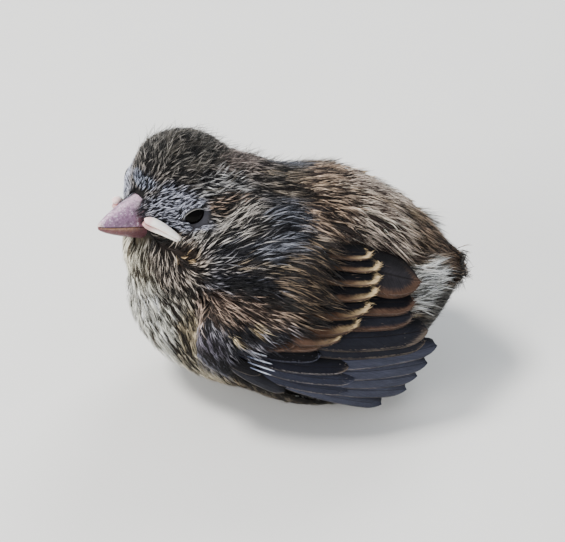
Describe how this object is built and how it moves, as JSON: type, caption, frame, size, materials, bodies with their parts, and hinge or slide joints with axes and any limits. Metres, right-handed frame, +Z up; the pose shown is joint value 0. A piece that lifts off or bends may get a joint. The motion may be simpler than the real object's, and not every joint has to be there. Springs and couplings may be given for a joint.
{
  "type": "dark-eyed junco fledgling",
  "caption": "Fluffed songbird fledgling resting on its belly, head turned to its left, wings folded, feet tucked under, soft flange at the corner of its bill.",
  "frame": {"origin": "on the floor, on the flat of the belly, midway between the two feet", "axes": "+Z up; the body faces -Y; the bird's left side is +X; the head is turned towards +X"},
  "size_m": [0.0402, 0.0558, 0.045],
  "materials": {
    "plumage": "soft barbed feather, matt, taupe and brown over dark slate",
    "head_plumage": "short fuzzy feather, matt, slate grey",
    "flight_feather": "close-barbed feather vane, slate black with a faint sheen",
    "bill": "smooth horn, satin, mauve pink",
    "gape": "soft swollen flesh, satin, cream",
    "eye": "wet black, glossy",
    "leg": "scaled skin, satin, greyish pink",
    "claw": "smooth horn, satin, dark grey"
  },
  "bodies": {
    "root": {"trunk": "plumage", "neck": "plumage", "head": "head_plumage", "bill_upper": "bill", "bill_lower": "bill", "gape_left": "gape", "gape_right": "gape", "eye_left": "eye", "eye_right": "eye", "wing_left": "plumage", "wing_right": "plumage", "primaries_left": "flight_feather", "primaries_right": "flight_feather", "secondaries_left": "flight_feather", "secondaries_right": "flight_feather", "tail": "flight_feather", "leg_left": "leg", "leg_right": "leg", "claw_left_1": "claw", "claw_left_2": "claw", "claw_left_3": "claw", "claw_left_4": "claw", "claw_right_1": "claw", "claw_right_2": "claw", "claw_right_3": "claw", "claw_right_4": "claw"}
  },
  "joints": []
}
